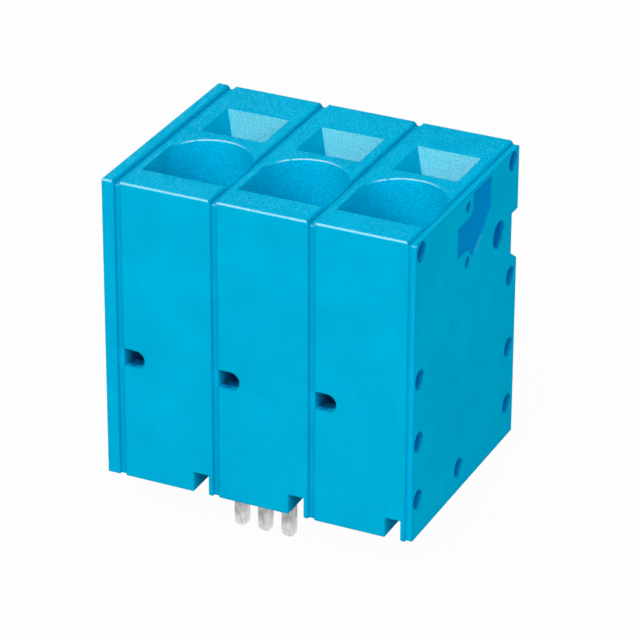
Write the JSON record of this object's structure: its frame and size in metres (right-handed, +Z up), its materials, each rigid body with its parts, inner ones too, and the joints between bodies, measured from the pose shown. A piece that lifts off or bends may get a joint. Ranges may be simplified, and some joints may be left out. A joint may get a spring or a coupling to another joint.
{
  "type": "spring terminal block",
  "caption": "Board-mounted spring clamp terminal block: blue moulded pole housings behind an end plate, with round conductor entries, screwdriver slots and solder pins.",
  "frame": {"origin": "middle of the block's outline on the board plane, under the housings", "axes": "+Z up from the board, -Y the front face, +X along the row of poles"},
  "size_m": [0.032, 0.0244, 0.0352],
  "materials": {
    "housing_plastic": "fine moulded grain",
    "tinned_copper": "bright tin over copper",
    "spring_steel": "rolled strip"
  },
  "bodies": {
    "block": {"end_plate": "housing_plastic", "pole_housing_1": "housing_plastic", "pole_housing_2": "housing_plastic", "pole_housing_3": "housing_plastic", "current_bar_1": "tinned_copper", "current_bar_2": "tinned_copper", "current_bar_3": "tinned_copper"},
    "clamp_1": {"clamp_spring_1": "spring_steel"},
    "clamp_2": {"clamp_spring_2": "spring_steel"},
    "clamp_3": {"clamp_spring_3": "spring_steel"}
  },
  "joints": [
    {"name": "clamp_1_open", "type": "hinge", "parent": "block", "child": "clamp_1", "pos_m": [-0.00983, 0.00129, 0.00649], "axis": [1, 0, 0], "range_deg": [0, 22], "stiffness_Nm_per_rad": 0.05, "springref_deg": -2.86},
    {"name": "clamp_2_open", "type": "hinge", "parent": "block", "child": "clamp_2", "pos_m": [0.00016, 0.00129, 0.00649], "axis": [1, 0, 0], "range_deg": [0, 22], "stiffness_Nm_per_rad": 0.05, "springref_deg": -2.86},
    {"name": "clamp_3_open", "type": "hinge", "parent": "block", "child": "clamp_3", "pos_m": [0.01017, 0.00129, 0.00649], "axis": [1, 0, 0], "range_deg": [0, 22], "stiffness_Nm_per_rad": 0.05, "springref_deg": -2.86}
  ]
}
